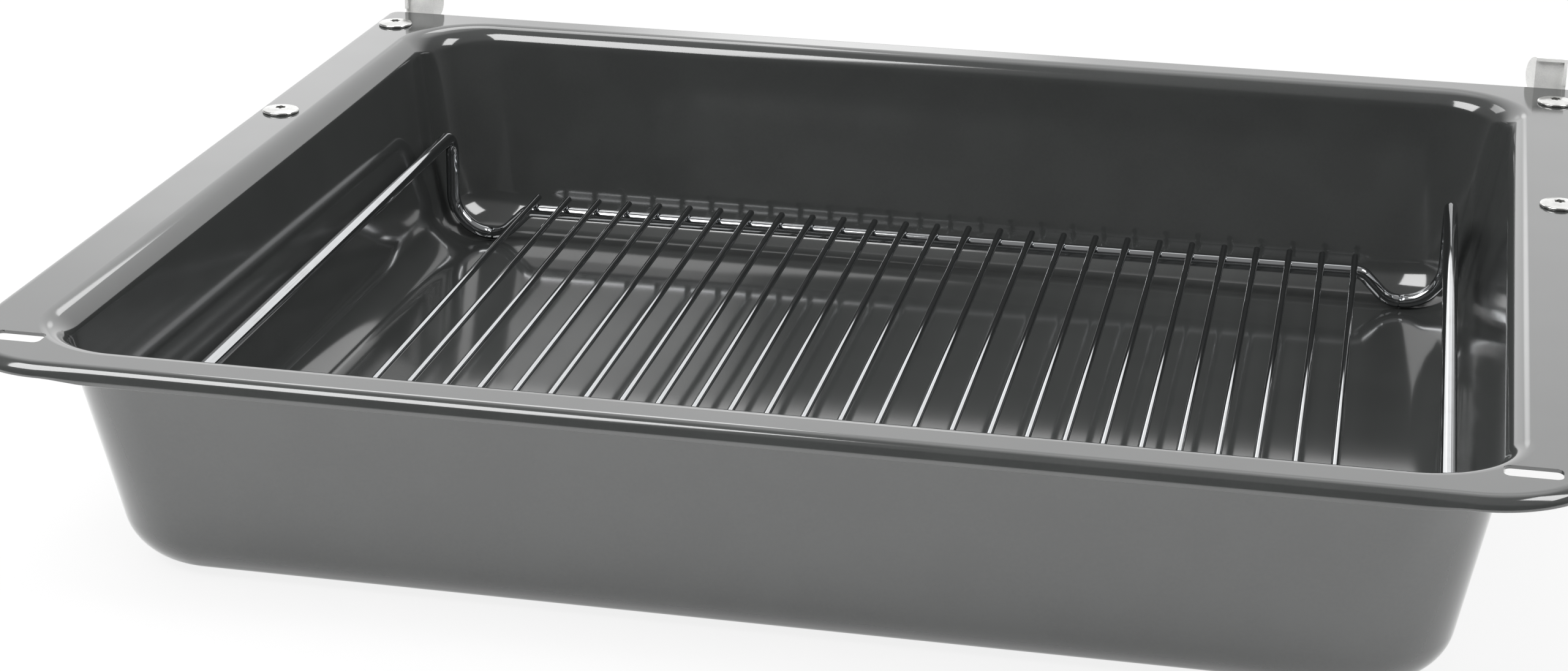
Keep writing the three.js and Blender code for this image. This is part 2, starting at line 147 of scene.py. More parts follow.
class Graph:
    """Adds and links the nodes of one shader or geometry tree."""

    def __init__(self, tree: bpy.types.NodeTree) -> None:
        """Starts on an existing tree."""
        self.tree = tree

    def add(
        self,
        kind: str,
        settings: dict[str, Any] | None = None,
        sockets: dict[str | int, Any] | None = None,
    ) -> bpy.types.Node:
        """Adds one node.

        Args:
            kind: the node's type.
            settings: its properties, which are set first.
            sockets: a value, signal or socket for each named or numbered input.

        Returns:
            The new node.
        """
        node = self.tree.nodes.new(kind)
        for name, value in (settings or {}).items():
            setattr(node, name, value)
        for key, value in (sockets or {}).items():
            self._feed(node.inputs[key], value)
        return node

    def read(self, node: bpy.types.Node, output: str | int = 0) -> Signal:
        """One output of a node, as a signal."""
        return Signal(self, node.outputs[output])

    def smooth_step(self, value: Signal, low: float, high: float) -> Signal:
        """A signal that rises smoothly from 0 at low to 1 at high.

        Args:
            value: the signal to map.
            low: where the rise starts.
            high: where it ends.

        Returns:
            The mapped signal.
        """
        sockets = {"Value": value, "From Min": low, "From Max": high}
        node = self.add("ShaderNodeMapRange", {"interpolation_type": "SMOOTHSTEP"}, sockets)
        return self.read(node, 0)

    def noise(self, place: Signal, size: float, detail: float = 2.0) -> Signal:
        """Smooth noise about one half.

        Args:
            place: the coordinates that it follows.
            size: the size of one blotch, in the units of the coordinates.
            detail: how many finer layers it has.

        Returns:
            The noise as a signal.
        """
        node = self.add("ShaderNodeTexNoise", {}, {"Vector": place, "Scale": 1 / size, "Detail": detail})
        return self.read(node, 0)

    def blend(self, factor: Signal, first: Colour, second: Colour) -> Signal:
        """A mix of two colours.

        Args:
            factor: 0 for the first colour and 1 for the second.
            first: linear red, green and blue.
            second: linear red, green and blue.

        Returns:
            The mixed colour.
        """
        sockets = {0: factor, 6: (*first, 1.0), 7: (*second, 1.0)}
        node = self.add("ShaderNodeMix", {"data_type": "RGBA"}, sockets)
        return self.read(node, 2)

    def bump(self, height: Signal, distance: float, under: Signal | None = None) -> Signal:
        """A bumped normal.

        Args:
            height: the relief, from 0 to 1.
            distance: the depth of the relief in metres.
            under: a normal that is bumped already, if there is one.

        Returns:
            The new normal.
        """
        sockets: dict[str | int, Any] = {"Height": height, "Distance": distance, "Strength": 1.0}
        if under is not None:
            sockets["Normal"] = under
        return self.read(self.add("ShaderNodeBump", {}, sockets), 0)

    def _feed(self, socket: bpy.types.NodeSocket, value: Any) -> None:
        """Links a signal or socket to an input, or sets its value.

        Args:
            socket: the node's input.
            value: a signal, a socket or a plain value.
        """
        source = value.socket if isinstance(value, Signal) else value
        if isinstance(source, bpy.types.NodeSocket):
            self.tree.links.new(source, socket)
        else:
            socket.default_value = source


class Finish:
    """A finish that is made into one material."""

    name: str

    def material(self) -> bpy.types.Material:
        """Makes the material.

        Returns:
            The new material, with its own node tree.
        """
        made = bpy.data.materials.new(self.name)
        made.use_nodes = True
        made.node_tree.nodes.clear()
        graph = Graph(made.node_tree)
        surface = graph.read(graph.add("ShaderNodeBsdfPrincipled", {}, self.sockets(graph)), 0)
        graph.add("ShaderNodeOutputMaterial", {}, {"Surface": surface})
        return made

    def sockets(self, graph: Graph) -> dict[str | int, Any]:
        """The values and signals of the Principled shader."""
        raise NotImplementedError

    @staticmethod
    def patches(graph: Graph, main: Signal, fine: Signal, share: float, limits: Pair) -> Signal:
        """Soft-edged patches from two noises.

        Args:
            graph: the material's graph.
            main: the first noise.
            fine: the second noise.
            share: how much of the sum is the first one.
            limits: where in the sum the patches start and where they are full.

        Returns:
            0 between the patches and 1 inside them.
        """
        return graph.smooth_step(share * main + (1 - share) * fine, *limits)

    @staticmethod
    def place(graph: Graph, kind: Place, stretch: Sequence[float] = (1.0, 1.0, 1.0)) -> Signal:
        """The coordinates of the piece's surface.

        Args:
            graph: the material's graph.
            kind: the object's own axes, in metres, or the piece's UVs.
            stretch: how much the coordinates are scaled along each axis.

        Returns:
            The scaled coordinates.
        """
        place = graph.read(graph.add("ShaderNodeTexCoord"), kind.value)
        return graph.read(graph.add("ShaderNodeMapping", {}, {"Vector": place, "Scale": stretch}), 0)


@dataclass(frozen=True)
class EnamelFinish(Finish):
    """Glossy anthracite enamel, fired on drawn steel sheet."""

    name: str = "anthracite_enamel"
    colour: Colour = (0.0465, 0.0489, 0.0480)
    deep_colour: Colour = (0.0415, 0.0435, 0.0428)
    cloud_size: float = 24 * MM
    cloud_layers: float = 3.0
    grain_size: float = 1.1 * MM
    cloud_share: float = 0.7
    deep_range: Pair = (0.35, 0.65)
    peel_size: float = 3.2 * MM
    peel_layers: float = 1.0
    peel_depth: float = 0.0008 * MM
    wave_size: float = 42 * MM
    wave_layers: float = 0.0
    wave_depth: float = 0.03 * MM
    gloss: float = 0.07
    gloss_change: float = 0.05
    glass_index: float = 1.75

    def sockets(self, graph: Graph) -> dict[str | int, Any]:
        """The values and signals of the Principled shader.

        Args:
            graph: the material's graph.

        Returns:
            A value or signal for each input that differs from the shader's own.
        """
        place = self.place(graph, Place.OBJECT)
        cloud = graph.noise(place, self.cloud_size, self.cloud_layers)
        grain = graph.noise(place, self.grain_size)
        deep = self.patches(graph, cloud, grain, self.cloud_share, self.deep_range)
        wave = graph.bump(graph.noise(place, self.wave_size, self.wave_layers), self.wave_depth)
        peel = graph.bump(graph.noise(place, self.peel_size, self.peel_layers), self.peel_depth, wave)
        return {
            "Base Color": graph.blend(deep, self.colour, self.deep_colour),
            "Roughness": self.gloss + self.gloss_change * cloud,
            "IOR": self.glass_index,
            "Normal": peel,
        }


@dataclass(frozen=True)
class WireFinish(Finish):
    """Bright chrome on drawn wire, with faint drawing lines along it."""

    name: str = "bright_chrome"
    colour: Colour = (0.45, 0.46, 0.47)
    dull_colour: Colour = (0.37, 0.37, 0.37)
    line_length: float = 30 * MM
    lines_round: float = 40.0
    line_layers: float = 3.0
    haze_size: float = 9 * MM
    line_share: float = 0.6
    dull_range: Pair = (0.45, 0.75)
    gloss: float = 0.05
    gloss_change: float = 0.07
    line_depth: float = 0.0015 * MM

    def sockets(self, graph: Graph) -> dict[str | int, Any]:
        """The values and signals of the Principled shader.

        Args:
            graph: the material's graph.

        Returns:
            A value or signal for each input that differs from the shader's own.
        """
        along = self.place(graph, Place.SURFACE, (1 / self.line_length, self.lines_round, 1.0))
        lines = graph.noise(along, 1.0, self.line_layers)
        haze = graph.noise(self.place(graph, Place.OBJECT), self.haze_size)
        dull = self.patches(graph, lines, haze, self.line_share, self.dull_range)
        return {
            "Base Color": graph.blend(dull, self.colour, self.dull_colour),
            "Metallic": 1.0,
            "Roughness": self.gloss + self.gloss_change * dull,
            "Normal": graph.bump(lines, self.line_depth),
        }


@dataclass(frozen=True)
class ScrewFinish(Finish):
    """Bright plated steel with faint turning rings round the head."""

    name: str = "plated_screw_steel"
    colour: Colour = (0.56, 0.56, 0.55)
    dull_colour: Colour = (0.44, 0.44, 0.43)
    ring_size: float = 0.16 * MM
    ring_breaks: float = 0.6
    haze_size: float = 2.4 * MM
    haze_layers: float = 3.0
    ring_share: float = 0.5
    dull_range: Pair = (0.42, 0.68)
    gloss: float = 0.20
    gloss_change: float = 0.12
    ring_depth: float = 0.004 * MM

    def sockets(self, graph: Graph) -> dict[str | int, Any]:
        """The values and signals of the Principled shader.

        Args:
            graph: the material's graph.

        Returns:
            A value or signal for each input that differs from the shader's own.
        """
        across = self.place(graph, Place.SURFACE, (self.ring_breaks, 1 / self.ring_size, 1.0))
        rings = graph.noise(across, 1.0)
        haze = graph.noise(self.place(graph, Place.OBJECT), self.haze_size, self.haze_layers)
        dull = self.patches(graph, rings, haze, self.ring_share, self.dull_range)
        return {
            "Base Color": graph.blend(dull, self.colour, self.dull_colour),
            "Metallic": 1.0,
            "Roughness": self.gloss + self.gloss_change * dull,
            "Normal": graph.bump(rings, self.ring_depth),
        }


@dataclass(frozen=True)
class SheetFinish(Finish):
    """Satin plated sheet steel, with rolling lines along its strip and a faint cloudiness."""

    name: str = "satin_plated_sheet"
    colour: Colour = (0.88, 0.88, 0.86)
    dull_colour: Colour = (0.78, 0.78, 0.77)
    line_length: float = 14 * MM
    line_width: float = 0.35 * MM
    cloud_size: float = 5 * MM
    cloud_layers: float = 3.0
    line_share: float = 0.45
    dull_range: Pair = (0.38, 0.66)
    metal_share: float = 0.1
    gloss: float = 0.40
    gloss_change: float = 0.16
    line_depth: float = 0.004 * MM

    def sockets(self, graph: Graph) -> dict[str | int, Any]:
        """The values and signals of the Principled shader.

        Args:
            graph: the material's graph.

        Returns:
            A value or signal for each input that differs from the shader's own.
        """
        stretch = (1 / self.line_width, 1 / self.line_length, 1 / self.line_width)
        lines = graph.noise(self.place(graph, Place.OBJECT, stretch), 1.0)
        cloud = graph.noise(self.place(graph, Place.OBJECT), self.cloud_size, self.cloud_layers)
        dull = self.patches(graph, lines, cloud, self.line_share, self.dull_range)
        return {
            "Base Color": graph.blend(dull, self.colour, self.dull_colour),
            "Metallic": self.metal_share,
            "Roughness": self.gloss + self.gloss_change * dull,
            "Normal": graph.bump(lines, self.line_depth),
        }


class Workshop:
    """Mesh steps that several pieces share."""

    @staticmethod
    def piece(
        name: str,
        points: Iterable[Sequence[float]],
        faces: Iterable[Sequence[int]],
    ) -> bpy.types.Object:
        """Makes a mesh object at the origin.

        Args:
            name: the object's name.
            points: vertex positions in metres.
            faces: vertex numbers of each face, counter-clockwise from outside.

        Returns:
            The object, linked to the scene.
        """
        mesh = bpy.data.meshes.new(name)
        corners = [tuple(map(float, point)) for point in points]
        mesh.from_pydata(corners, [], [tuple(face) for face in faces])
        made = bpy.data.objects.new(name, mesh)
        bpy.context.scene.collection.objects.link(made)
        return made

    @staticmethod
    def bake(piece: bpy.types.Object) -> None:
        """Turns a piece's modifiers into its plain mesh.

        Args:
            piece: the mesh object.
        """
        evaluated = piece.evaluated_get(bpy.context.evaluated_depsgraph_get())
        mesh = bpy.data.meshes.new_from_object(evaluated)
        piece.modifiers.clear()
        piece.data = mesh

    @staticmethod
    def cut(piece: bpy.types.Object, cutter: bpy.types.Object) -> None:
        """Takes a cutter's volume out of a piece and deletes the cutter.

        Args:
            piece: the mesh object.
            cutter: a closed mesh object.
        """
        modifier = piece.modifiers.new("cut", "BOOLEAN")
        modifier.operation = "DIFFERENCE"
        modifier.solver = "EXACT"
        modifier.object = cutter
        Workshop.bake(piece)
        bpy.data.objects.remove(cutter)

    @staticmethod
    def soften_edges(piece: bpy.types.Object, angle: float, width: float, segments: int) -> None:
        """Rounds the sharp edges of a piece.

        Args:
            piece: the mesh object.
            angle: edges that turn by more than this are rounded.
            width: the offset of the rounding.
            segments: how many faces it has.
        """
        work = bmesh.new()
        work.from_mesh(piece.data)
        edges = [edge for edge in work.edges if edge.calc_face_angle(0.0) > angle]
        bmesh.ops.bevel(
            work,
            geom=edges,
            offset=width,
            offset_type="OFFSET",
            segments=segments,
            profile=ROUND_PROFILE,
            affect="EDGES",
            clamp_overlap=True,
        )
        work.to_mesh(piece.data)
        work.free()

    @staticmethod
    def shade(piece: bpy.types.Object, angle: float) -> None:
        """Shades a piece smooth, with creases where it turns sharply.

        Args:
            piece: the mesh object.
            angle: edges that turn by more than this stay sharp.
        """
        piece.data.polygons.foreach_set("use_smooth", [True] * len(piece.data.polygons))
        piece.data.set_sharp_from_angle(angle=angle)
        modifier = piece.modifiers.new("weighted", "WEIGHTED_NORMAL")
        modifier.keep_sharp = True
        Workshop.bake(piece)

    @staticmethod
    def dress(piece: bpy.types.Object, material: bpy.types.Material) -> None:
        """Gives a piece one material."""
        piece.data.materials.clear()
        piece.data.materials.append(material)

    @staticmethod
    def hand_over(piece: bpy.types.Object, body: Body, slot: Slot, nodes: Sequence[str]) -> None:
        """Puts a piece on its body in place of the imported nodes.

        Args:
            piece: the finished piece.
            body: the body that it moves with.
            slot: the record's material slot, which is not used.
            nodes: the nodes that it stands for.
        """
        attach(piece, body.value)
        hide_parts(*nodes)
        LOG.info("%s: %d faces on %s", piece.name, len(piece.data.polygons), body.value)

    @staticmethod
    def turned(name: str, profile: Sequence[Pair], sides: int) -> bpy.types.Object:
        """Turns a profile round Z.

        Args:
            name: the object's name.
            profile: (radius, height) pairs from the axis at the bottom to the axis at the top.
            sides: how many faces go round.

        Returns:
            The closed object, with its UVs.
        """
        rings = profile[1:-1]
        points = [(0.0, 0.0, profile[0][1])]
        for radius, height in rings:
            for step in range(sides):
                angle = 2 * math.pi * step / sides
                points.append((radius * math.cos(angle), radius * math.sin(angle), height))
        points.append((0.0, 0.0, profile[-1][1]))
        top = len(points) - 1
        last = 1 + (len(rings) - 1) * sides
        faces = []
        for step in range(sides):
            after = (step + 1) % sides
            faces.append((0, 1 + after, 1 + step))
            faces.append((top, last + step, last + after))
            for ring in range(len(rings) - 1):
                low = 1 + ring * sides
                high = low + sides
                faces.append((low + step, low + after, high + after, high + step))
        made = Workshop.piece(name, points, faces)
        Workshop.map_round(made, profile)
        return made

    @staticmethod
    def map_round(piece: bpy.types.Object, profile: Sequence[Pair]) -> None:
        """Gives a turned piece UVs of the turn and of its distance from the axis plus its height.

        Args:
            piece: the turned piece.
            profile: its (radius, height) pairs, from the bottom.
        """
        layer = piece.data.uv_layers.new(name="round")
        for loop in piece.data.loops:
            place = piece.data.vertices[loop.vertex_index].co
            turn = math.atan2(place.y, place.x) / (2 * math.pi)
            layer.data[loop.index].uv = (turn, math.hypot(place.x, place.y) + place.z - profile[0][1])


class Pattern:
    """Geometry trees that repeat a piece."""

    @staticmethod
    def grid() -> bpy.types.NodeTree:
        """A tree that sets copies of a piece on a flat grid, each turned and sized a little differently.

        Returns:
            The tree, with named inputs.
        """
        tree = Pattern._tree("copies_on_a_grid")
        inputs = Pattern._inputs(tree, {
            "Columns": "NodeSocketInt",
            "Rows": "NodeSocketInt",
            "Spread X": "NodeSocketFloat",
            "Spread Y": "NodeSocketFloat",
            "Turn": "NodeSocketFloat",
            "Size Change": "NodeSocketFloat",
            "Seed": "NodeSocketInt",
            "Material": "NodeSocketMaterial",
        })
        graph = Graph(tree)
        source = {name: graph.read(inputs, name) for name in inputs.outputs.keys() if name}
        spots = graph.add("GeometryNodeMeshGrid", {}, {
            "Size X": source["Spread X"],
            "Size Y": source["Spread Y"],
            "Vertices X": source["Columns"],
            "Vertices Y": source["Rows"],
        })
        turn = graph.add("FunctionNodeRandomValue", {"data_type": "FLOAT"}, {
            2: 0.0 - source["Turn"],
            3: source["Turn"],
            "Seed": source["Seed"],
        })
        size = graph.add("FunctionNodeRandomValue", {"data_type": "FLOAT"}, {
            2: 1.0 - source["Size Change"],
            3: 1.0 + source["Size Change"],
            "Seed": source["Seed"] + 1.0,
        })
        angles = graph.add("ShaderNodeCombineXYZ", {}, {"Z": graph.read(turn, 1)})
        rotation = graph.add("FunctionNodeEulerToRotation", {}, {0: graph.read(angles)})
        copies = graph.add("GeometryNodeInstanceOnPoints", {}, {
            "Points": graph.read(spots, "Mesh"),
            "Instance": source["Geometry"],
            "Rotation": graph.read(rotation),
            "Scale": graph.read(size, 1),
        })
        Pattern._close(graph, copies, source["Material"])
        return tree

    @staticmethod
    def row() -> bpy.types.NodeTree:
        """A tree that sets copies of a piece side by side along X, centred on the piece.

        Returns:
            The tree, with named inputs.
        """
        tree = Pattern._tree("copies_in_a_row")
        inputs = Pattern._inputs(tree, {
            "Count": "NodeSocketInt",
            "Pitch": "NodeSocketFloat",
            "Material": "NodeSocketMaterial",
        })
        graph = Graph(tree)
        source = {name: graph.read(inputs, name) for name in inputs.outputs.keys() if name}
        first = (1.0 - source["Count"]) * source["Pitch"] * 0.5
        start = graph.add("ShaderNodeCombineXYZ", {}, {"X": first})
        step = graph.add("ShaderNodeCombineXYZ", {}, {"X": source["Pitch"]})
        spots = graph.add("GeometryNodeMeshLine", {"mode": "OFFSET"}, {
            "Count": source["Count"],
            "Start Location": graph.read(start),
            "Offset": graph.read(step),
        })
        copies = graph.add("GeometryNodeInstanceOnPoints", {}, {
            "Points": graph.read(spots, "Mesh"),
            "Instance": source["Geometry"],
        })
        Pattern._close(graph, copies, source["Material"])
        return tree

    @staticmethod
    def apply(piece: bpy.types.Object, tree: bpy.types.NodeTree, values: dict[str, Any]) -> None:
        """Runs a tree on a piece and keeps the result as its plain mesh.

        Args:
            piece: the object whose mesh is repeated.
            tree: the tree to run.
            values: a value for each named input.
        """
        modifier = piece.modifiers.new(tree.name, "NODES")
        modifier.node_group = tree
        for item in tree.interface.items_tree:
            if item.in_out == "INPUT" and item.name in values:
                modifier[item.identifier] = values[item.name]
        Workshop.bake(piece)

    @staticmethod
    def _tree(name: str) -> bpy.types.NodeTree:
        """A new geometry tree with a geometry input and output.

        Args:
            name: the tree's name.

        Returns:
            The tree.
        """
        tree = bpy.data.node_groups.new(name, "GeometryNodeTree")
        tree.interface.new_socket("Geometry", in_out="INPUT", socket_type="NodeSocketGeometry")
        tree.interface.new_socket("Geometry", in_out="OUTPUT", socket_type="NodeSocketGeometry")
        return tree

    @staticmethod
    def _inputs(tree: bpy.types.NodeTree, kinds: dict[str, str]) -> bpy.types.Node:
        """Adds a tree's named inputs and the node that holds them.

        Args:
            tree: the geometry tree.
            kinds: the socket type of each input.

        Returns:
            The input node.
        """
        for name, kind in kinds.items():
            tree.interface.new_socket(name, in_out="INPUT", socket_type=kind)
        return tree.nodes.new("NodeGroupInput")

    @staticmethod
    def _close(graph: Graph, copies: bpy.types.Node, material: Signal) -> None:
        """Ends a tree in real, dressed geometry.

        Args:
            graph: the tree's graph.
            copies: the node that makes the copies.
            material: the tree's material input.
        """
        real = graph.add("GeometryNodeRealizeInstances", {}, {"Geometry": graph.read(copies)})
        dressed = graph.add("GeometryNodeSetMaterial", {}, {
            "Geometry": graph.read(real),
            "Material": material,
        })
        graph.add("NodeGroupOutput", {}, {0: graph.read(dressed)})


@dataclass
class PanShell:
    """The drawn pan: sloping walls, a flat flange, and a rim that turns down all round."""

    width: float = 460 * MM
    depth: float = 400 * MM
    height: float = 76 * MM
    sheet: float = 1 * MM
    draft: float = math.radians(9.8)
    side_flange: float = 14.6 * MM
    end_flange: float = 8 * MM
    front_corner: float = 30 * MM
    rear_corner: float = 2 * MM
    rim_radius: float = 4 * MM
    front_skirt: float = 1 * MM
    skirt_fade: float = 16 * MM
    skirt_sweep: float = math.radians(30)
    mouth_fillet: float = 8 * MM
    mouth_corner: float = 26 * MM
    base_corner: float = 28 * MM
    floor_fillet: float = 16.5 * MM
    slot_length: float = 15.3 * MM
    slot_width: float = 7.4 * MM
    slot_corner: float = 2 * MM
    slot_side_inset: float = 12 * MM
    slot_front_inset: float = 20.5 * MM
    edge_round: float = 0.32 * MM
    edge_segments: int = 3
    support: float = 0.8 * MM
    most_support: float = 0.2
    corner_steps: int = 28
    fade_steps: int = 4
    fillet_steps: int = 14
    rim_steps: int = 12
    edge_steps: int = 8
    slot_steps: int = 8
    crease: float = math.radians(42)

    def build(self, screws: "Fasteners") -> bpy.types.Object:
        """Makes the shell with its slots and screw holes.

        Args:
            screws: the fasteners that pass through the flange.

        Returns:
            The finished mesh object.
        """
        rings = self._section()
        count = len(rings[0])
        points = np.concatenate(rings)
        faces = [tuple(reversed(range(count)))]
        for ring in range(len(rings) - 1):
            low = ring * count
            for step in range(count):
                after = (step + 1) % count
                faces.append((low + step, low + after, low + count + after, low + count + step))
        faces.append(tuple(range(len(points) - count, len(points))))
        shell = Workshop.piece("enamelled_pan", points, faces)
        Workshop.cut(shell, self._cutter(screws))
        Workshop.soften_edges(shell, self.crease, self.edge_round, self.edge_segments)
        Workshop.shade(shell, self.crease)
        return shell

    def _mouth_tangent(self) -> float:
        """How far the mouth fillet reaches outwards from the wall's own slope."""
        return self.mouth_fillet * (1 - math.sin(self.draft)) / math.cos(self.draft)

    def _ring(self, half: Pair, radii: Pair, z: float, skirt: float) -> Ring:
        """One closed ring, counter-clockwise from above.

        Args:
            half: half width and half depth.
            radii: corner radii at the front and at the rear.
            z: height of the ring.
            skirt: how far the middle of the front edge hangs lower.

        Returns:
            The ring's points.
        """
        front, rear = radii
        corners = [
            (-half[0] + front, -half[1] + front, front, math.pi),
            (half[0] - front, -half[1] + front, front, 3 * RIGHT_ANGLE),
            (half[0] - rear, half[1] - rear, rear, 0.0),
            (-half[0] + rear, half[1] - rear, rear, RIGHT_ANGLE),
        ]
        steps = range(1, self.fade_steps + 1)
        fade = [self.support, *(self.skirt_fade * step / self.fade_steps for step in steps)]
        points = []
        for number, (x, y, radius, start) in enumerate(corners):
            angles = np.linspace(start, start + RIGHT_ANGLE, self.corner_steps + 1)
            points += [(x + radius * math.cos(a), y + radius * math.sin(a), z) for a in angles]
            following = corners[(number + 1) % len(corners)]
            begin = Vector(points[-1])
            end = Vector((
                following[0] + following[2] * math.cos(following[3]),
                following[1] + following[2] * math.sin(following[3]),
                z,
            ))
            along = (end - begin).normalized()
            distances = fade if number == 0 else [self.support]
            drops = [skirt * self._fade(distance) if number == 0 else 0.0 for distance in distances]
            lows = [Vector((0, 0, -drop)) for drop in drops]
            points += [tuple(begin + along * d + low) for d, low in zip(distances, lows)]
            points += [tuple(end - along * d + low) for d, low in zip(distances[::-1], lows[::-1])]
        return np.array(points)

    def _fade(self, distance: float) -> float:
        """How much of the skirt's drop there is at a distance from the corner."""
        part = min(distance / self.skirt_fade, 1.0)
        return part * part * (3 - 2 * part)

    def _wall_ring(self, offset: float, z: float) -> Ring:
        """A ring measured from where the inner wall's slope meets the flange's top.

        Args:
            offset: distance outwards.
            z: height of the ring.

        Returns:
            The ring's points.
        """
        mouth = self.rim_radius + self._mouth_tangent()
        half_x = self.width / 2 - self.side_flange - mouth + offset
        half_y = self.depth / 2 - self.end_flange - mouth + offset
        share = z / self.height
        corner = self.base_corner * (1 - share) + self.mouth_corner * share - self.sheet
        radius = corner + (self.height - z) * math.tan(self.draft) + offset
        return self._ring((half_x, half_y), (radius, radius), z, 0.0)

    def _rim_ring(self, offset: float, z: float, skirt: float) -> Ring:
        """A ring measured from the outer edge of the flange's flat.

        Args:
            offset: distance outwards.
            z: height of the ring at the sides.
            skirt: how far the middle of the front edge hangs lower.

        Returns:
            The ring's points.
        """
        half = (self.width / 2 - self.rim_radius + offset, self.depth / 2 - self.rim_radius + offset)
        return self._ring(half, (self.front_corner + offset, self.rear_corner + offset), z, skirt)

    def _floor_arc(self, radius: float) -> list[Ring]:
        """The bend from the floor up into the wall.

        Args:
            radius: the radius of the sheet's outer or inner face.

        Returns:
            The rings from the floor upwards, with one on the flat floor.
        """
        inside = self.floor_fillet - self.sheet
        rise = (self.height - self.floor_fillet) * math.sin(self.draft)
        centre = -(inside + rise) / math.cos(self.draft)
        angles = np.linspace(-RIGHT_ANGLE, -self.draft, self.fillet_steps + 1)
        flat = self._wall_ring(centre - self.support, self.floor_fillet - radius)
        bend = [
            self._wall_ring(centre + radius * math.cos(a), self.floor_fillet + radius * math.sin(a))
            for a in angles
        ]
        return [flat, *bend]

    def _mouth_arc(self, radius: float) -> list[Ring]:
        """The bend from the wall out into the flange.

        Args:
            radius: the radius of the sheet's outer or inner face.

        Returns:
            The rings from the wall outwards.
        """
        centre = self._mouth_tangent()
        middle = self.height - self.mouth_fillet
        angles = np.linspace(math.pi - self.draft, RIGHT_ANGLE, self.fillet_steps + 1)
        return [
            self._wall_ring(centre + radius * math.cos(a), middle + radius * math.sin(a)) for a in angles
        ]

    def _rim_arc(self, radius: float) -> list[Ring]:
        """The bend from the flange down into the rim.

        Args:
            radius: the radius of the sheet's outer or inner face.

        Returns:
            The rings from the flange downwards.
        """
        edge = self.sheet / 2
        bottom = self.height - self.rim_radius
        last = math.asin(edge / radius)
        angles = np.linspace(RIGHT_ANGLE, last, self.rim_steps + 1)
        hang = [max(0.0, 1 - (a - last) / self.skirt_sweep) for a in angles]
        return [
            self._rim_ring(radius * math.cos(a), bottom + radius * math.sin(a), self.front_skirt * share)
            for a, share in zip(angles, hang)
        ]

    def _rim_edge(self) -> list[Ring]:
        """The half-round lower edge of the rim.

        Returns:
            The rings from its inner to its outer face.
        """
        edge = self.sheet / 2
        centre = self.rim_radius - edge
        middle = self.height - self.rim_radius + edge
        angles = np.linspace(math.pi, 2 * math.pi, self.edge_steps + 1)[1:-1]
        return [
            self._rim_ring(centre + edge * math.cos(a), middle + edge * math.sin(a), self.front_skirt)
            for a in angles
        ]

    def _between(self, first: Ring, second: Ring) -> list[Ring]:
        """Two rings just inside the ends of a straight stretch, which keep its shading straight.

        Args:
            first: the ring at its start.
            second: the ring at its end.

        Returns:
            The two rings between them.
        """
        length = float(np.linalg.norm(second - first, axis=1).max())
        reach = min(self.most_support, self.support / length)
        return [first + (second - first) * reach, second + (first - second) * reach]

    def _section(self) -> list[Ring]:
        """The rings round the sheet's section, from the underside to the floor.

        Returns:
            The rings in order.
        """
        stretches = [
            self._floor_arc(self.floor_fillet),
            self._mouth_arc(self.mouth_fillet - self.sheet),
            self._rim_arc(self.rim_radius - self.sheet) + self._rim_edge()
            + self._rim_arc(self.rim_radius)[::-1],
            self._mouth_arc(self.mouth_fillet)[::-1],
            self._floor_arc(self.floor_fillet - self.sheet)[::-1],
        ]
        rings = list(stretches[0])
        for stretch in stretches[1:]:
            rings += self._between(rings[-1], stretch[0])
            rings += stretch
        return rings

    def _cutter(self, screws: "Fasteners") -> bpy.types.Object:
        """One object that holds the slots' and screw holes' volumes.

        Args:
            screws: the fasteners that pass through the flange.

        Returns:
            The cutter.
        """
        bottom = self.height - self.rim_radius
        top = self.height + self.rim_radius
        outlines = [self._slot_outline(side) for side in Side]
        outlines += [screws.hole_outline(x, y) for x, y in screws.places()]
        points = []
        faces = []
        for outline in outlines:
            first = len(points)
            count = len(outline)
            points += [(x, y, bottom) for x, y in outline]
            points += [(x, y, top) for x, y in outline]
            faces.append([first + step for step in reversed(range(count))])
            faces.append([first + count + step for step in range(count)])
            for step in range(count):
                after = (step + 1) % count
                low = (first + step, first + after)
                faces.append((*low, low[1] + count, low[0] + count))
        return Workshop.piece("flange_cutter", points, faces)

    def _slot_outline(self, side: Side) -> list[Pair]:
        """The rounded outline of one slot.

        Args:
            side: the side of the pan that it is on.

        Returns:
            Its points, counter-clockwise from above.
        """
        centre_x = side.value * (self.width / 2 - self.slot_side_inset - self.slot_length / 2)
        centre_y = self.slot_front_inset - self.depth / 2
        end_x = self.slot_length / 2 - self.slot_corner
        end_y = self.slot_width / 2 - self.slot_corner
        corners = [(end_x, end_y), (-end_x, end_y), (-end_x, -end_y), (end_x, -end_y)]
        points = []
        for number, (x, y) in enumerate(corners):
            start = number * RIGHT_ANGLE
            for angle in np.linspace(start, start + RIGHT_ANGLE, self.slot_steps + 1):
                points.append((
                    centre_x + x + self.slot_corner * math.cos(angle),
                    centre_y + y + self.slot_corner * math.sin(angle),
                ))
        return points


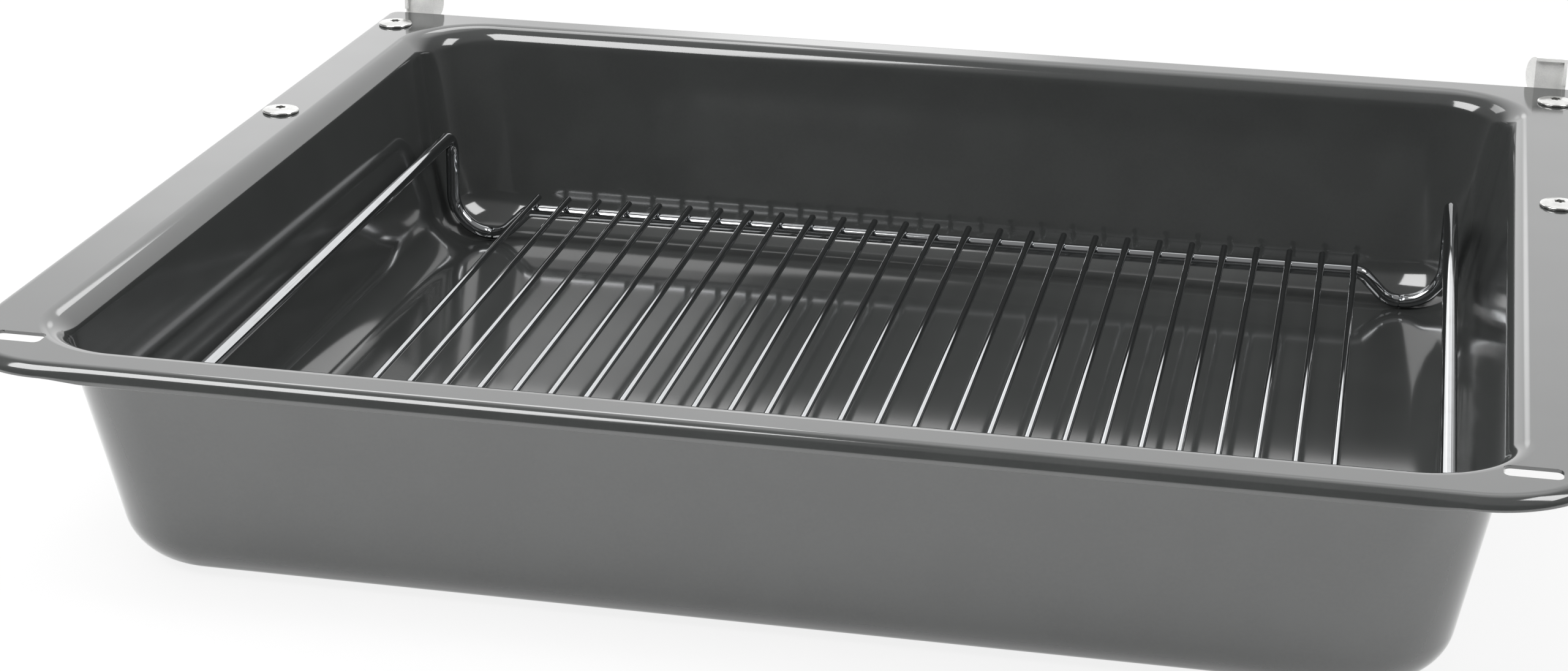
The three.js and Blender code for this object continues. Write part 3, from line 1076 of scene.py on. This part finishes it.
@dataclass
class Fasteners:
    """The four screws through the side flanges, and their nuts."""

    side_reach: float = 219.5 * MM
    rear: float = 177 * MM
    spacing: float = 124 * MM
    seat: float = 76 * MM
    shank_radius: float = 2 * MM
    hole_radius: float = 2.25 * MM
    tip: float = -6.7 * MM
    tip_chamfer: float = 0.5 * MM
    head_radius: float = 6.35 * MM
    head_rim: float = 0.9 * MM
    head_crown: float = 0.8 * MM
    head_edge: float = 0.22 * MM
    recess_width: float = 3.86 * MM
    recess_waist: float = 2.78 * MM
    recess_lobes: int = 6
    recess_depth: float = 1.1 * MM
    thread_pitch: float = 0.7 * MM
    thread_depth: float = 0.3 * MM
    thread_runout: float = 0.3
    nut_flats: float = 7 * MM
    nut_top: float = -2.5 * MM
    nut_height: float = 3.2 * MM
    nut_chamfer: float = 3.65 * MM
    nut_slope: float = math.radians(30)
    nut_corners: int = 6
    edge_round: float = 0.06 * MM
    edge_segments: int = 2
    crease: float = math.radians(50)
    nut_crease: float = math.radians(25)
    screw_turn: float = 1.0
    nut_turn: float = 0.0
    turn_seed: int = 3
    sides: int = 64
    nut_sides: int = 72
    crown_steps: int = 14
    recess_steps: int = 96
    hole_steps: int = 40

    def places(self) -> list[Pair]:
        """The screws' positions from above."""
        rows = (self.rear - self.spacing, self.rear)
        return [(side.value * self.side_reach, y) for side in Side for y in rows]

    def hole_outline(self, x: float, y: float) -> list[Pair]:
        """The outline of one screw's hole.

        Args:
            x: the screw's place across the pan.
            y: the screw's place along the pan.

        Returns:
            The outline's points.
        """
        angles = np.linspace(0, 2 * math.pi, self.hole_steps, endpoint=False)
        return [(x + self.hole_radius * math.cos(a), y + self.hole_radius * math.sin(a)) for a in angles]

    def screws(self, tree: bpy.types.NodeTree, finish: bpy.types.Material) -> bpy.types.Object:
        """Makes the four screws.

        Args:
            tree: the tree that sets copies on a grid.
            finish: the screws' material.

        Returns:
            One object that holds all four.
        """
        made = Workshop.turned("hanger_screws", self._profile(), self.sides)
        Workshop.cut(made, self._recess())
        Workshop.soften_edges(made, self.crease, self.edge_round, self.edge_segments)
        Workshop.shade(made, self.crease)
        self._set_out(made, tree, finish, self.screw_turn)
        return made

    def nuts(self, tree: bpy.types.NodeTree, finish: bpy.types.Material) -> bpy.types.Object:
        """Makes the four nuts.

        Args:
            tree: the tree that sets copies on a grid.
            finish: the nuts' material.

        Returns:
            One object that holds all four.
        """
        slope = math.tan(self.nut_slope)
        bottom = self.nut_top - self.nut_height
        sector = 2 * math.pi / self.nut_corners
        angles = np.linspace(0, 2 * math.pi, self.nut_sides, endpoint=False)
        columns = []
        for angle in angles:
            flat = self.nut_flats / 2 / math.cos(angle % sector - sector / 2)
            dip = max(0.0, flat - self.nut_chamfer) * slope
            inner = min(flat, self.nut_chamfer)
            stations = [
                (self.hole_radius, bottom),
                (inner, bottom),
                (flat, bottom + dip),
                (flat, self.nut_top - dip),
                (inner, self.nut_top),
                (self.hole_radius, self.nut_top),
            ]
            x = math.cos(angle)
            y = math.sin(angle)
            columns.append([(radius * x, radius * y, z) for radius, z in stations])
        rings = list(zip(*columns))
        count = len(angles)
        faces = []
        for ring in range(len(rings)):
            low = ring * count
            high = ((ring + 1) % len(rings)) * count
            for step in range(count):
                after = (step + 1) % count
                faces.append((low + step, low + after, high + after, high + step))
        made = Workshop.piece("hanger_nuts", [point for ring in rings for point in ring], faces)
        Workshop.shade(made, self.nut_crease)
        self._set_out(made, tree, finish, self.nut_turn)
        return made

    def _set_out(
        self,
        piece: bpy.types.Object,
        tree: bpy.types.NodeTree,
        finish: bpy.types.Material,
        turn: float,
    ) -> None:
        """Copies a piece to the four screw places.

        Args:
            piece: one screw or nut, on the axis, with the flange's top at zero.
            tree: the tree that sets copies on a grid.
            finish: the material.
            turn: how far each copy may be turned either way.
        """
        Pattern.apply(piece, tree, {
            "Columns": 2,
            "Rows": 2,
            "Spread X": 2 * self.side_reach,
            "Spread Y": self.spacing,
            "Turn": turn,
            "Size Change": 0.0,
            "Seed": self.turn_seed,
            "Material": finish,
        })
        piece.data.transform(Matrix.Translation((0, self.rear - self.spacing / 2, self.seat)))

    def _profile(self) -> list[Pair]:
        """The screw's profile from its tip to the middle of its crown.

        Returns:
            (radius, height) pairs.
        """
        profile = [(0.0, self.tip), (self.shank_radius - self.tip_chamfer, self.tip)]
        z = self.tip + self.tip_chamfer
        while z < -self.thread_pitch:
            profile.append((self.shank_radius, z))
            profile.append((self.shank_radius - self.thread_depth, z + self.thread_pitch / 2))
            z += self.thread_pitch
        profile.append((self.shank_radius, -self.thread_runout * self.thread_pitch))
        profile.append((self.shank_radius, 0.0))
        edge = self.head_edge
        profile += [(self.head_radius - edge, 0.0), (self.head_radius, edge)]
        profile.append((self.head_radius, self.head_rim - edge))
        crown = (self.head_radius**2 + self.head_crown**2) / (2 * self.head_crown)
        middle = self.head_rim + self.head_crown - crown
        first = math.asin((self.head_radius - edge) / crown)
        for angle in np.linspace(first, 0, self.crown_steps + 1)[:-1]:
            profile.append((crown * math.sin(angle), middle + crown * math.cos(angle)))
        profile.append((0.0, self.head_rim + self.head_crown))
        return profile

    def _recess(self) -> bpy.types.Object:
        """The volume of the six-lobe recess.

        Returns:
            The cutter, with the flange's top at zero.
        """
        mean = (self.recess_width + self.recess_waist) / 4
        swing = (self.recess_width - self.recess_waist) / 4
        top = self.head_rim + self.head_crown
        count = self.recess_steps
        points = []
        for z in (top - self.recess_depth, top + self.recess_depth):
            for step in range(count):
                angle = 2 * math.pi * step / count
                radius = mean + swing * math.cos(self.recess_lobes * angle)
                points.append((radius * math.cos(angle), radius * math.sin(angle), z))
        faces = [tuple(reversed(range(count))), tuple(range(count, 2 * count))]
        for step in range(count):
            after = (step + 1) % count
            faces.append((step, after, count + after, count + step))
        return Workshop.piece("recess_cutter", points, faces)


@dataclass
class Hangers:
    """The two sheet hangers under the rear of the side flanges."""

    edge_round: float = 0.28 * MM
    edge_segments: int = 3
    crease: float = math.radians(30)
    shade_crease: float = math.radians(35)
    merge_distance: float = 0.002 * MM
    flat_angle: float = math.radians(1)

    def build(self, name: str, solid: bpy.types.Object) -> bpy.types.Object:
        """Makes one hanger from its solid, with its edges rounded.

        Args:
            name: the new object's name.
            solid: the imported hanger.

        Returns:
            The finished mesh object.
        """
        mesh = solid.data.copy()
        work = bmesh.new()
        work.from_mesh(mesh)
        bmesh.ops.remove_doubles(work, verts=work.verts, dist=self.merge_distance)
        bmesh.ops.dissolve_limit(work, angle_limit=self.flat_angle, verts=work.verts, edges=work.edges)
        work.to_mesh(mesh)
        work.free()
        made = bpy.data.objects.new(name, mesh)
        bpy.context.scene.collection.objects.link(made)
        Workshop.soften_edges(made, self.crease, self.edge_round, self.edge_segments)
        Workshop.shade(made, self.shade_crease)
        return made


@dataclass
class Rack:
    """The loose wire rack: one thick wire bent into a frame with four feet, and thin bars across it."""

    wire_radius: float = 2.5 * MM
    bar_radius: float = 1.2 * MM
    bar_count: int = 27
    outer_bar: float = 154.7 * MM
    bar_half: float = 157 * MM
    bar_height: float = 17.8 * MM
    bar_chamfer: float = 0.25 * MM
    rail_x: float = 187.17 * MM
    crossbar_y: float = 152 * MM
    foot_height: float = 3.8 * MM
    crossbar_height: float = 13.8 * MM
    rail_height: float = 42.2 * MM
    foot_inner_x: float = 167.5 * MM
    crossbar_x: float = 157.5 * MM
    rail_bend: float = 8 * MM
    foot_bend: float = 15 * MM
    foot_inner_bend: float = 10 * MM
    crossbar_bend: float = 6 * MM
    turn: float = math.radians(0.9)
    shift: float = 1.07 * MM
    bead_radius: float = 1.15 * MM
    bead_height: float = 1.0 * MM
    bead_turn: float = math.pi
    bead_size_change: float = 0.08
    bead_seed: int = 11
    support: float = 0.8 * MM
    most_support: float = 0.1
    bar_crease: float = math.radians(40)
    bend_steps: int = 14
    wire_sides: int = 28
    bar_sides: int = 20
    bead_steps: int = 6
    bead_sides: int = 12

    def place(self) -> Matrix:
        """How the rack lies in the pan."""
        return Matrix.Translation((self.shift, 0, 0)) @ Matrix.Rotation(self.turn, 4, "Z")

    def frame(self) -> bpy.types.Object:
        """Makes the bent frame wire.

        Returns:
            The closed wire, with UVs of its length in metres and of the turn round it.
        """
        line = self._line()
        count = len(line)
        ahead = [(line[(i + 1) % count] - line[i]).normalized() for i in range(count)]
        tangents = [(ahead[i] + ahead[i - 1]).normalized() for i in range(count)]
        normals = [Vector((0, 0, 1)).cross(tangents[0]).normalized()]
        for i in range(count):
            step = tangents[i].rotation_difference(tangents[(i + 1) % count])
            normals.append(step @ normals[-1])
        last = normals.pop()
        twist = math.atan2(last.dot(tangents[0].cross(normals[0])), last.dot(normals[0]))
        points = []
        for i, (point, tangent, normal) in enumerate(zip(line, tangents, normals)):
            start = Quaternion(tangent, -twist * i / count) @ normal
            across = tangent.cross(start)
            for j in range(self.wire_sides):
                angle = 2 * math.pi * j / self.wire_sides
                spoke = start * math.cos(angle) + across * math.sin(angle)
                points.append(point + self.wire_radius * spoke)
        faces = []
        for i in range(count):
            low = i * self.wire_sides
            high = ((i + 1) % count) * self.wire_sides
            for j in range(self.wire_sides):
                k = (j + 1) % self.wire_sides
                faces.append((low + j, low + k, high + k, high + j))
        made = Workshop.piece("rack_frame_wire", points, faces)
        self._map_wire(made, line)
        Workshop.shade(made, NO_CREASE)
        made.data.transform(self.place())
        return made

    def bars(self, tree: bpy.types.NodeTree, finish: bpy.types.Material) -> bpy.types.Object:
        """Makes the bars across the frame.

        Args:
            tree: the tree that sets copies in a row.
            finish: the bars' material.

        Returns:
            One object that holds every bar.
        """
        radius = self.bar_radius
        cut = radius - self.bar_chamfer
        end = self.bar_half
        profile = [
            (0.0, -end),
            (cut, -end),
            (radius, -end + self.bar_chamfer),
            (radius, -end + 2 * self.bar_chamfer),
            (radius, end - 2 * self.bar_chamfer),
            (radius, end - self.bar_chamfer),
            (cut, end),
            (0.0, end),
        ]
        made = Workshop.turned("rack_bars", profile, self.bar_sides)
        layer = made.data.uv_layers.active
        for item in layer.data:
            item.uv = (item.uv[1], item.uv[0])
        Workshop.shade(made, self.bar_crease)
        made.data.transform(Matrix.Rotation(-RIGHT_ANGLE, 4, "X"))
        Pattern.apply(made, tree, {
            "Count": self.bar_count,
            "Pitch": 2 * self.outer_bar / (self.bar_count - 1),
            "Material": finish,
        })
        made.data.transform(self.place() @ Matrix.Translation((0, 0, self.bar_height)))
        return made

    def welds(self, tree: bpy.types.NodeTree, finish: bpy.types.Material) -> bpy.types.Object:
        """Makes the spot welds between the bars and the crossbars.

        Args:
            tree: the tree that sets copies on a grid.
            finish: the welds' material.

        Returns:
            One object that holds every weld.
        """
        profile = []
        for step in range(self.bead_steps + 1):
            angle = -RIGHT_ANGLE + math.pi * step / self.bead_steps
            profile.append((self.bead_radius * math.cos(angle), self.bead_height * math.sin(angle)))
        made = Workshop.turned("rack_welds", profile, self.bead_sides)
        Workshop.shade(made, NO_CREASE)
        Pattern.apply(made, tree, {
            "Columns": self.bar_count,
            "Rows": 2,
            "Spread X": 2 * self.outer_bar,
            "Spread Y": 2 * self.crossbar_y,
            "Turn": self.bead_turn,
            "Size Change": self.bead_size_change,
            "Seed": self.bead_seed,
            "Material": finish,
        })
        middle = (self.crossbar_height + self.wire_radius + self.bar_height - self.bar_radius) / 2
        made.data.transform(self.place() @ Matrix.Translation((0, 0, middle)))
        return made

    def _line(self) -> list[Vector]:
        """The frame wire's centre line.

        Returns:
            Its points, round the whole loop.
        """
        corner = [
            (self.rail_x, self.rail_height, self.rail_bend),
            (self.rail_x, self.foot_height, self.foot_bend),
            (self.foot_inner_x, self.foot_height, self.foot_inner_bend),
            (self.crossbar_x, self.crossbar_height, self.crossbar_bend),
        ]
        spots = []
        for sign_x, sign_y, order in ((1, 1, 1), (-1, 1, -1), (-1, -1, 1), (1, -1, -1)):
            for x, z, radius in corner[::order]:
                spots.append((Vector((sign_x * x, sign_y * self.crossbar_y, z)), radius))
        line: list[Vector] = []
        for i, (at, radius) in enumerate(spots):
            before = spots[i - 1][0]
            after = spots[(i + 1) % len(spots)][0]
            line += self._bend(before, at, after, radius)
        return line

    def _bend(self, before: Vector, at: Vector, after: Vector, radius: float) -> list[Vector]:
        """Rounds one corner of the wire.

        Args:
            before: the corner before.
            at: the corner.
            after: the corner after.
            radius: the bend's radius on the centre line.

        Returns:
            Points along the bend, with one on the straight wire at each end.
        """
        back = (before - at).normalized()
        onward = (after - at).normalized()
        turn = math.pi - back.angle(onward)
        start = at + back * radius * math.tan(turn / 2)
        centre = at + (back + onward).normalized() * radius / math.cos(turn / 2)
        spoke = start - centre
        points = []
        for step in range(self.bend_steps + 1):
            angle = turn * step / self.bend_steps
            points.append(centre + spoke * math.cos(angle) - back * radius * math.sin(angle))
        shorter = min((before - at).length, (after - at).length)
        straight = min(self.support, self.most_support * shorter)
        return [points[0] + back * straight, *points, points[-1] + onward * straight]

    def _map_wire(self, piece: bpy.types.Object, line: Sequence[Vector]) -> None:
        """Gives the frame wire UVs of its length and of the turn round it.

        Args:
            piece: the wire.
            line: its centre line.
        """
        lengths = [0.0]
        for i, point in enumerate(line):
            lengths.append(lengths[-1] + (line[(i + 1) % len(line)] - point).length)
        layer = piece.data.uv_layers.new(name="wire")
        for polygon in piece.data.polygons:
            i, j = divmod(polygon.index, self.wire_sides)
            corners = ((i, j), (i, j + 1), (i + 1, j + 1), (i + 1, j))
            for loop, (station, side) in zip(polygon.loop_indices, corners):
                layer.data[loop].uv = (lengths[station], side / self.wire_sides)


def bearing(azimuth: float, elevation: float) -> Vector:
    """A direction seen from the pan.

    Args:
        azimuth: degrees from +Y towards +X.
        elevation: degrees above the floor.

    Returns:
        The direction, one metre long.
    """
    turn = math.radians(azimuth)
    rise = math.radians(elevation)
    return Vector((math.sin(turn) * math.cos(rise), math.cos(turn) * math.cos(rise), math.sin(rise)))


@dataclass(frozen=True)
class Softbox:
    """A rectangular studio lamp that faces the pan."""

    name: str
    azimuth: float
    elevation: float
    distance: float
    width: float
    height: float
    radiance: float
    roll: float = 0.0
    aim_height: float = 50 * MM

    def build(self) -> None:
        """Adds the lamp to the scene, hidden from the camera."""
        lamp = bpy.data.lights.new(self.name, "AREA")
        lamp.shape = "RECTANGLE"
        lamp.size = self.width
        lamp.size_y = self.height
        lamp.energy = math.pi * self.width * self.height * self.radiance
        made = bpy.data.objects.new(self.name, lamp)
        bpy.context.scene.collection.objects.link(made)
        away = bearing(self.azimuth, self.elevation)
        made.location = away * self.distance + Vector((0, 0, self.aim_height))
        made.rotation_mode = "QUATERNION"
        roll = Quaternion((0, 0, 1), math.radians(self.roll))
        made.rotation_quaternion = away.to_track_quat("Z", "Y") @ roll
        made.visible_camera = False


@dataclass(frozen=True)
class Glow:
    """A soft round patch of the surroundings that is brighter or darker than the rest."""

    azimuth: float
    elevation: float
    inner: float
    outer: float
    level: float

    def signal(self, graph: Graph, direction: Signal) -> Signal:
        """The patch's share of the surroundings' brightness.

        Args:
            graph: the world's graph.
            direction: the direction that is looked in.

        Returns:
            Its level inside the inner angle, falling to nothing at the outer one.
        """
        middle = bearing(self.azimuth, self.elevation)
        node = graph.add("ShaderNodeVectorMath", {"operation": "DOT_PRODUCT"}, {0: direction, 1: middle})
        far_edge = math.cos(math.radians(self.outer))
        near_edge = math.cos(math.radians(self.inner))
        return self.level * graph.smooth_step(graph.read(node, "Value"), far_edge, near_edge)


@dataclass
class Studio:
    """A white light table in soft white surroundings, dark behind the camera, with three softboxes."""

    floor_half: float = 4.0
    floor_colour: Colour = (0.86, 0.86, 0.86)
    floor_glow: float = 0.55
    shadow_lift: float = 0.85
    level: float = 0.38
    glows: tuple[Glow, ...] = (
        Glow(azimuth=-2.0, elevation=14.0, inner=25.0, outer=60.0, level=1.12),
        Glow(azimuth=-11.0, elevation=16.5, inner=1.0, outer=5.0, level=1.20),
        Glow(azimuth=-22.0, elevation=15.0, inner=1.0, outer=5.5, level=0.42),
        Glow(azimuth=8.0, elevation=62.0, inner=8.0, outer=24.0, level=0.90),
        Glow(azimuth=180.0, elevation=-60.0, inner=88.0, outer=108.0, level=-0.32),
    )
    softboxes: tuple[Softbox, ...] = (
        Softbox(
            name="left_softbox",
            azimuth=-129.0,
            elevation=51.0,
            distance=1.6,
            width=1.00,
            height=0.95,
            radiance=8.0,
            roll=27.0,
        ),
        Softbox(
            name="right_softbox",
            azimuth=97.0,
            elevation=44.0,
            distance=1.7,
            width=0.60,
            height=0.90,
            radiance=7.6,
        ),
        Softbox(
            name="rear_softbox",
            azimuth=-33.0,
            elevation=42.0,
            distance=0.69,
            width=0.32,
            height=0.18,
            radiance=3.0,
        ),
    )

    def build(self) -> None:
        """Sets up the floor, the world and the lamps."""
        self._floor()
        self._world()
        for softbox in self.softboxes:
            softbox.build()
        bpy.context.scene.view_settings.view_transform = "Standard"

    def _floor(self) -> None:
        """Adds the light table, whose shadow is kept but lightened for the camera."""
        half = self.floor_half
        corners = [(-half, -half, 0), (half, -half, 0), (half, half, 0), (-half, half, 0)]
        floor = Workshop.piece("studio_floor", corners, [(0, 1, 2, 3)])
        material = bpy.data.materials.new("light_table")
        material.use_nodes = True
        material.node_tree.nodes.clear()
        graph = Graph(material.node_tree)
        seen = graph.read(graph.add("ShaderNodeLightPath"), "Is Camera Ray")
        paint = graph.add("ShaderNodeBsdfDiffuse", {}, {"Color": (*self.floor_colour, 1.0)})
        white = graph.add("ShaderNodeEmission", {}, {"Color": WHITE, "Strength": 1.0})
        shown = graph.add("ShaderNodeMixShader", {}, {
            0: self.shadow_lift * seen,
            1: graph.read(paint),
            2: graph.read(white),
        })
        strength = self.floor_glow * (1.0 - seen)
        glow = graph.add("ShaderNodeEmission", {}, {"Color": WHITE, "Strength": strength})
        both = graph.add("ShaderNodeAddShader", {}, {0: graph.read(shown), 1: graph.read(glow)})
        graph.add("ShaderNodeOutputMaterial", {}, {"Surface": graph.read(both)})
        Workshop.dress(floor, material)

    def _world(self) -> None:
        """Makes the surroundings: white for the camera, and soft light and dark for everything else."""
        world = bpy.data.worlds.new("studio_surroundings")
        world.use_nodes = True
        world.node_tree.nodes.clear()
        graph = Graph(world.node_tree)
        seen = graph.read(graph.add("ShaderNodeLightPath"), "Is Camera Ray")
        direction = graph.read(graph.add("ShaderNodeTexCoord"), "Generated")
        level: Signal | float = self.level
        for glow in self.glows:
            level = level + glow.signal(graph, direction)
        strength = seen + (1.0 - seen) * level
        shine = graph.add("ShaderNodeBackground", {}, {"Color": WHITE, "Strength": strength})
        graph.add("ShaderNodeOutputWorld", {}, {"Surface": graph.read(shine)})
        bpy.context.scene.world = world


@dataclass
class Viewpoint:
    """The photograph's camera."""

    position: tuple[float, float, float] = (0.177956, -0.956891, 0.38941)
    turn: float = math.radians(11.968)
    tilt: float = math.radians(20.435)
    roll: float = math.radians(0.69)
    lens: float = 72.585
    sensor: float = 36.0
    shift_x: float = -0.0025
    shift_y: float = 0.0061
    nearest: float = 0.01
    farthest: float = 50.0

    def build(self) -> None:
        """Adds the camera and makes it the scene's own."""
        data = bpy.data.cameras.new("photograph_camera")
        data.sensor_fit = "HORIZONTAL"
        data.sensor_width = self.sensor
        data.lens = self.lens
        data.shift_x = self.shift_x
        data.shift_y = self.shift_y
        data.clip_start = self.nearest
        data.clip_end = self.farthest
        made = bpy.data.objects.new("photograph_camera", data)
        bpy.context.scene.collection.objects.link(made)
        aim = Matrix.Rotation(self.turn, 4, "Z") @ Matrix.Rotation(RIGHT_ANGLE - self.tilt, 4, "X")
        made.matrix_world = Matrix.Translation(self.position) @ aim @ Matrix.Rotation(self.roll, 4, "Z")
        bpy.context.scene.camera = made


def build_pan(nodes: dict[str, bpy.types.Object]) -> None:
    """Builds the pan, its hangers, screws and nuts.

    Args:
        nodes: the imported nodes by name.
    """
    grid = Pattern.grid()
    fasteners = Fasteners()
    plating = SheetFinish().material()
    shell = PanShell().build(fasteners)
    Workshop.dress(shell, EnamelFinish().material())
    Workshop.hand_over(shell, Body.PAN, Slot.ENAMEL, ["pan_shell"])
    places = [f"{side.name.lower()}_{place}" for side in Side for place in ("rear", "middle")]
    screws = fasteners.screws(grid, ScrewFinish().material())
    Workshop.hand_over(screws, Body.PAN, Slot.SCREW, [f"{place}_screw" for place in places])
    nuts = fasteners.nuts(grid, plating)
    Workshop.hand_over(nuts, Body.PAN, Slot.HANGER, [f"{place}_nut" for place in places])
    for side in Side:
        node = f"{side.name.lower()}_hanger"
        hanger = Hangers().build(f"{side.name.lower()}_sheet_hanger", nodes[node])
        Workshop.dress(hanger, plating)
        Workshop.hand_over(hanger, Body.PAN, Slot.HANGER, [node])


def build_rack() -> None:
    """Builds the rack's frame, bars and welds."""
    rack = Rack()
    chrome = WireFinish().material()
    frame_wire = rack.frame()
    Workshop.dress(frame_wire, chrome)
    Workshop.hand_over(frame_wire, Body.RACK, Slot.CHROME, ["rack_frame"])
    bars = rack.bars(Pattern.row(), chrome)
    names = [f"rack_bar_{number:02d}" for number in range(1, rack.bar_count + 1)]
    Workshop.hand_over(bars, Body.RACK, Slot.CHROME, names)
    welds = rack.welds(Pattern.grid(), chrome)
    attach(welds, Body.RACK.value)
    LOG.info("%s: %d faces on %s", welds.name, len(welds.data.polygons), Body.RACK.value)


def main() -> None:
    """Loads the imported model, dresses it and sets up the photograph."""
    logging.basicConfig(level=logging.INFO, format="%(name)s: %(message)s")
    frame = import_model()
    Viewpoint().build()
    Studio().build()
    build_pan(frame["nodes"])
    build_rack()
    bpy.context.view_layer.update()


if __name__ == "__main__":
    main()
